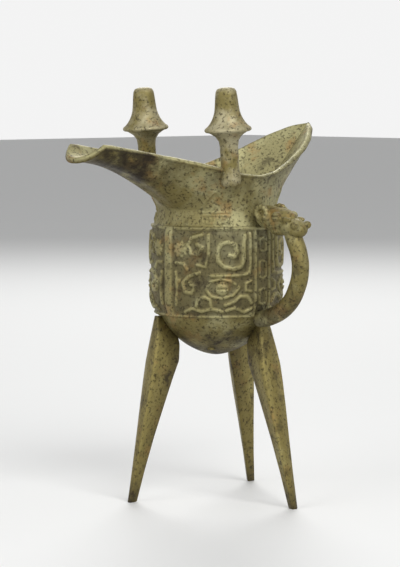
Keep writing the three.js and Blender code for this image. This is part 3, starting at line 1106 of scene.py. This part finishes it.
@dataclass
class Handle:
    """Strap from the muzzle to the bowl, and the animal head that it comes out of."""

    radius: float = 4.1
    sides: int = 28
    line_steps: int = 12
    line: tuple[Pair, ...] = (
        (-50.6, 134), (-52.3, 129.6), (-55.6, 122.2), (-56.6, 114.8), (-54.4, 106.2), (-48.6, 97.8),
        (-36.7, 91.2), (-29.6, 89.8))
    strap_shade: float = 0.7
    shade_full: float = 94.0
    shade_end: float = 108.0
    voxel: float = 0.42
    soften_rounds: int = 2
    skull: tuple[Swelling, ...] = (
        Swelling((0, -41, 138.0), (6.6, 12.4, 5.8)),
        Swelling((0, -36, 139.6), (6.2, 7.5, 4.8)),
        Swelling((0, -51.6, 134.6), (5.9, 6.6, 4.4)),
        Swelling((0, -54.6, 133.4), (5.2, 4.6, 3.8)),
        Swelling((0, -43.5, 132.8), (3.8, 6.4, 2.6)),
    )
    paired: tuple[Swelling, ...] = (
        Swelling((5.6, -46.2, 139.6), (2.3, 2.5, 2.3)),
        Swelling((4.2, -56.8, 135.8), (1.9, 2.1, 1.9)),
        Swelling((4.6, -50.8, 138.2), (1.3, 4.2, 1.2)),
    )
    ear_steps: int = 9
    ear_start: float = -50.0
    ear_turn: float = 34.0
    ear_centre: Triple = (5.9, -37.0, 141.0)
    ear_lift: float = 0.08
    ear_length: float = 3.5
    ear_height: float = 2.9
    ear_radii: Triple = (1.4, 1.35, 1.35)
    eye: Triple = (7.6, -46.4, 139.8)
    eye_reach: float = 2.2
    slit_height: float = 0.45
    slit_tone: float = 0.05
    plain_tone: float = 0.55
    side_tone: float = 0.35
    side_start: float = 5.4
    side_full: float = 7.6

    def sweep_tree(self, material: bpy.types.Material) -> bpy.types.NodeTree:
        """Geometry Nodes tree that sweeps a round section along the strap's line.

        Args:
            material: Finish of the strap.

        Returns:
            The tree, with the radius and the number of sides as named inputs.
        """
        tree = bpy.data.node_groups.new("strap_sweep", "GeometryNodeTree")
        kinds = {"Geometry": "NodeSocketGeometry", "Radius": "NodeSocketFloat", "Sides": "NodeSocketInt"}
        for label, kind in kinds.items():
            tree.interface.new_socket(name=label, in_out="INPUT", socket_type=kind)
        tree.interface.new_socket(name="Geometry", in_out="OUTPUT", socket_type=kinds["Geometry"])
        given = tree.nodes.new("NodeGroupInput").outputs
        result = tree.nodes.new("NodeGroupOutput").inputs
        circle = tree.nodes.new("GeometryNodeCurvePrimitiveCircle")
        sweep = tree.nodes.new("GeometryNodeCurveToMesh")
        realize = tree.nodes.new("GeometryNodeRealizeInstances")
        dress = tree.nodes.new("GeometryNodeSetMaterial")
        dress.inputs["Material"].default_value = material
        sweep.inputs["Fill Caps"].default_value = True
        tree.links.new(given["Radius"], circle.inputs["Radius"])
        tree.links.new(given["Sides"], circle.inputs["Resolution"])
        tree.links.new(given["Geometry"], sweep.inputs["Curve"])
        tree.links.new(circle.outputs["Curve"], sweep.inputs["Profile Curve"])
        tree.links.new(sweep.outputs["Mesh"], realize.inputs["Geometry"])
        tree.links.new(realize.outputs["Geometry"], dress.inputs["Geometry"])
        tree.links.new(dress.outputs["Geometry"], result["Geometry"])
        return tree

    def strap_path(self) -> bpy.types.Object:
        """Curve along the middle of the strap.

        Returns:
            The curve's object, linked to the scene.
        """
        curve = bpy.data.curves.new("strap_line", "CURVE")
        curve.dimensions = "3D"
        curve.resolution_u = self.line_steps
        spline = curve.splines.new("BEZIER")
        spline.bezier_points.add(len(self.line) - 1)
        for point, (y, z) in zip(spline.bezier_points, self.line):
            point.co = Vector((np.array([0, y, z]) + SHIFT) * MM)
            point.handle_left_type = point.handle_right_type = "AUTO"
        path = bpy.data.objects.new("strap_line", curve)
        bpy.context.scene.collection.objects.link(path)
        return path

    def build_strap(self, material: bpy.types.Material) -> None:
        """Makes the strap.

        Args:
            material: Finish of the strap.
        """
        path = self.strap_path()
        modifier = path.modifiers.new("sweep", "NODES")
        modifier.node_group = self.sweep_tree(material)
        values = {"Radius": self.radius * MM, "Sides": self.sides}
        for item in modifier.node_group.interface.items_tree:
            if item.in_out == "INPUT" and item.name in values:
                modifier[item.identifier] = values[item.name]
        graph = bpy.context.evaluated_depsgraph_get()
        mesh = bpy.data.meshes.new_from_object(path.evaluated_get(graph))
        bpy.data.objects.remove(path)
        piece = place_mesh("strap_bronze", mesh)
        # Painted shade on the strap's low end, where it meets the bowl.
        low_shade = 1 - smoothstep(self.shade_full, self.shade_end, bowl_points(mesh)[:, 2])
        write_coats(mesh, {Coat.BROWN: self.strap_shade * low_shade})
        seat(piece, "handle_strap")

    def ear(self, side: int) -> list[tuple[Points, Faces]]:
        """Curl of swellings that makes the ear of one side.

        Args:
            side: Side of the head, 1 or -1.

        Returns:
            Points and faces of each swelling.
        """
        x, y, z = self.ear_centre
        curl = []
        for step in range(self.ear_steps):
            turn = math.radians(self.ear_start + self.ear_turn * step)
            centre = (side * (x + self.ear_lift * step), y + self.ear_length * math.cos(turn),
                      z + self.ear_height * math.sin(turn))
            curl.append(ball(centre, self.ear_radii))
        return curl

    def build_head(self, material: bpy.types.Material) -> None:
        """Makes the animal head from swellings that are fused into one skin.

        Args:
            material: Finish of the head.
        """
        parts = [swelling.surface() for swelling in self.skull]
        for side in (-1, 1):
            parts.extend(swelling.surface(side) for swelling in self.paired)
            parts.extend(self.ear(side))
        points, faces = join(parts)
        piece = make_piece("head_bronze", points, faces, material)
        melt(piece, self.voxel, self.soften_rounds)
        points = bowl_points(piece.data)
        points[:, 0] = np.abs(points[:, 0])
        # The eye slit has no depth in the skin: a line of very low tone is painted there, which the patina
        # group darkens as painted shade of the slit.
        from_eye = points - np.array(self.eye)
        slit = np.abs(from_eye[:, 2]) < self.slit_height
        slit &= np.linalg.norm(from_eye, axis=1) < self.eye_reach
        tone = self.plain_tone + self.side_tone * smoothstep(self.side_start, self.side_full, points[:, 0])
        write_coats(piece.data, {Coat.TONE: np.where(slit, self.slit_tone, tone)})
        seat(piece, "handle_head")


@dataclass(frozen=True)
class Lamp:
    """Soft square lamp that faces the cup: place and side in metres, power in watts."""

    name: str
    place: Triple
    size: float
    power: float
    target: Triple = (0, 0, 0.12)

    def build(self) -> None:
        """Makes the lamp."""
        light = bpy.data.lights.new(self.name, "AREA")
        light.size = self.size
        light.energy = self.power
        lamp = bpy.data.objects.new(self.name, light)
        lamp.location = self.place
        aim = Vector(self.target) - Vector(self.place)
        lamp.rotation_euler = aim.to_track_quat("-Z", "Y").to_euler()
        bpy.context.scene.collection.objects.link(lamp)


@dataclass
class Studio:
    """Pale floor, soft lights and the camera at the photograph's angle."""

    eye: Triple = (-777.6, -800.7, 200.4)
    heading: Pair = (0.69164, 0.72231)
    pitch: float = math.radians(4.89)
    lens: float = 146.3
    sensor: float = 36.0
    sight: float = 50.0
    floor_reach: float = 6.0
    floor_colour: Triple = (0.80, 0.80, 0.79)
    floor_roughness: float = 0.6
    surround_colour: Triple = (0.82, 0.83, 0.84)
    surround_strength: float = 0.4
    backdrop_colour: Triple = (0.9, 0.9, 0.9)
    lamps: tuple[Lamp, ...] = (
        Lamp("key", (-0.35, -1.15, 1.15), 0.9, 15.0),
        Lamp("fill", (-1.25, 0.1, 0.75), 0.9, 5.0),
        Lamp("back", (0.9, 0.9, 1.0), 0.8, 9.0),
    )

    def build(self) -> None:
        """Makes the floor, the world, the lamps and the camera."""
        self.floor()
        self.world()
        for lamp in self.lamps:
            lamp.build()
        self.camera()

    def floor(self) -> None:
        """Makes the pale floor."""
        mesh = bpy.data.meshes.new("floor")
        reach = self.floor_reach
        corners = [(-reach, -reach, 0), (reach, -reach, 0), (reach, reach, 0), (-reach, reach, 0)]
        mesh.from_pydata(corners, [], [(0, 1, 2, 3)])
        plane = bpy.data.objects.new("floor", mesh)
        bpy.context.scene.collection.objects.link(plane)
        material = bpy.data.materials.new("floor_paint")
        material.use_nodes = True
        shader = material.node_tree.nodes["Principled BSDF"]
        shader.inputs["Base Color"].default_value = (*self.floor_colour, 1)
        shader.inputs["Roughness"].default_value = self.floor_roughness
        mesh.materials.append(material)

    def world(self) -> None:
        """Sets an even light from all round, and a paler backdrop for the camera and for reflections."""
        world = bpy.data.worlds.new("studio")
        world.use_nodes = True
        nodes, links = world.node_tree.nodes, world.node_tree.links
        background = nodes["Background"]
        background.inputs["Color"].default_value = (*self.surround_colour, 1)
        background.inputs["Strength"].default_value = self.surround_strength
        seen = nodes.new("ShaderNodeBackground")
        seen.inputs["Color"].default_value = (*self.backdrop_colour, 1)
        path = nodes.new("ShaderNodeLightPath")
        either = nodes.new("ShaderNodeMath")
        either.operation = "MAXIMUM"
        mix = nodes.new("ShaderNodeMixShader")
        links.new(path.outputs["Is Camera Ray"], either.inputs[0])
        links.new(path.outputs["Is Glossy Ray"], either.inputs[1])
        links.new(either.outputs[0], mix.inputs[0])
        links.new(background.outputs[0], mix.inputs[1])
        links.new(seen.outputs[0], mix.inputs[2])
        links.new(mix.outputs[0], nodes["World Output"].inputs["Surface"])
        bpy.context.scene.world = world

    def camera(self) -> None:
        """Makes the camera and sets it as the scene's own."""
        data = bpy.data.cameras.new("camera")
        data.lens = self.lens
        data.sensor_width = self.sensor
        data.sensor_fit = "AUTO"
        data.clip_end = self.sight
        camera = bpy.data.objects.new("camera", data)
        camera.location = Vector((np.array(self.eye) + SHIFT) * MM)
        level = math.cos(self.pitch)
        look = Vector((self.heading[0] * level, self.heading[1] * level, -math.sin(self.pitch)))
        camera.rotation_euler = look.to_track_quat("-Z", "Y").to_euler()
        bpy.context.scene.collection.objects.link(camera)
        bpy.context.scene.camera = camera


def dress_kept_solids(bronze: bpy.types.Material, clay: bpy.types.Material) -> None:
    """Gives the solids that stay in the scene their finish.

    Args:
        bronze: Finish of the spacers.
        clay: Finish of the cores.
    """
    for name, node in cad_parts.items():
        if name.startswith("chaplet"):
            node.data.materials.clear()
            node.data.materials.append(bronze)
        elif "core" in name:
            node.data.materials.clear()
            node.data.materials.append(clay)


def main() -> None:
    """Builds the cup piece by piece, then the studio."""
    logging.basicConfig(level=logging.INFO)
    bpy.context.scene.view_settings.view_transform = "Standard"
    vessel = Vessel()
    vessel.build(Finish("bronze_vessel").material())
    limb = Finish("bronze_legs", ground=(0.23, 0.185, 0.055), pale=(0.36, 0.31, 0.12), pale_edge=0.56)
    limb_bronze = limb.material()
    Leg(vessel, "blade_spout_side", "leg_spout_side", 155.6, 42.5).build(limb_bronze)
    Leg(vessel, "blade_under_handle", "leg_under_handle", 275.0, 47.5).build(limb_bronze)
    Leg(vessel, "blade_tail_side", "leg_tail_side", 25.4, 48.7).build(limb_bronze)
    fitting = Finish("bronze_fittings", pale=(0.42, 0.38, 0.24), pale_edge=0.46, dark_edge=0.6).material()
    CappedPost(-1, "handle_side").build(fitting)
    CappedPost(1, "far_side").build(fitting)
    handle_bronze = Finish("bronze_handle", dark_edge=0.56).material()
    handle = Handle()
    handle.build_strap(handle_bronze)
    handle.build_head(handle_bronze)
    spacer = Finish("bronze_spacers", coated=False)
    clay = Finish("fired_clay", ground=(0.2, 0.14, 0.08), pale=(0.3, 0.22, 0.14), metallic=0.0, coated=False)
    dress_kept_solids(spacer.material(), clay.material())
    Studio().build()


if __name__ == "__main__":
    main()
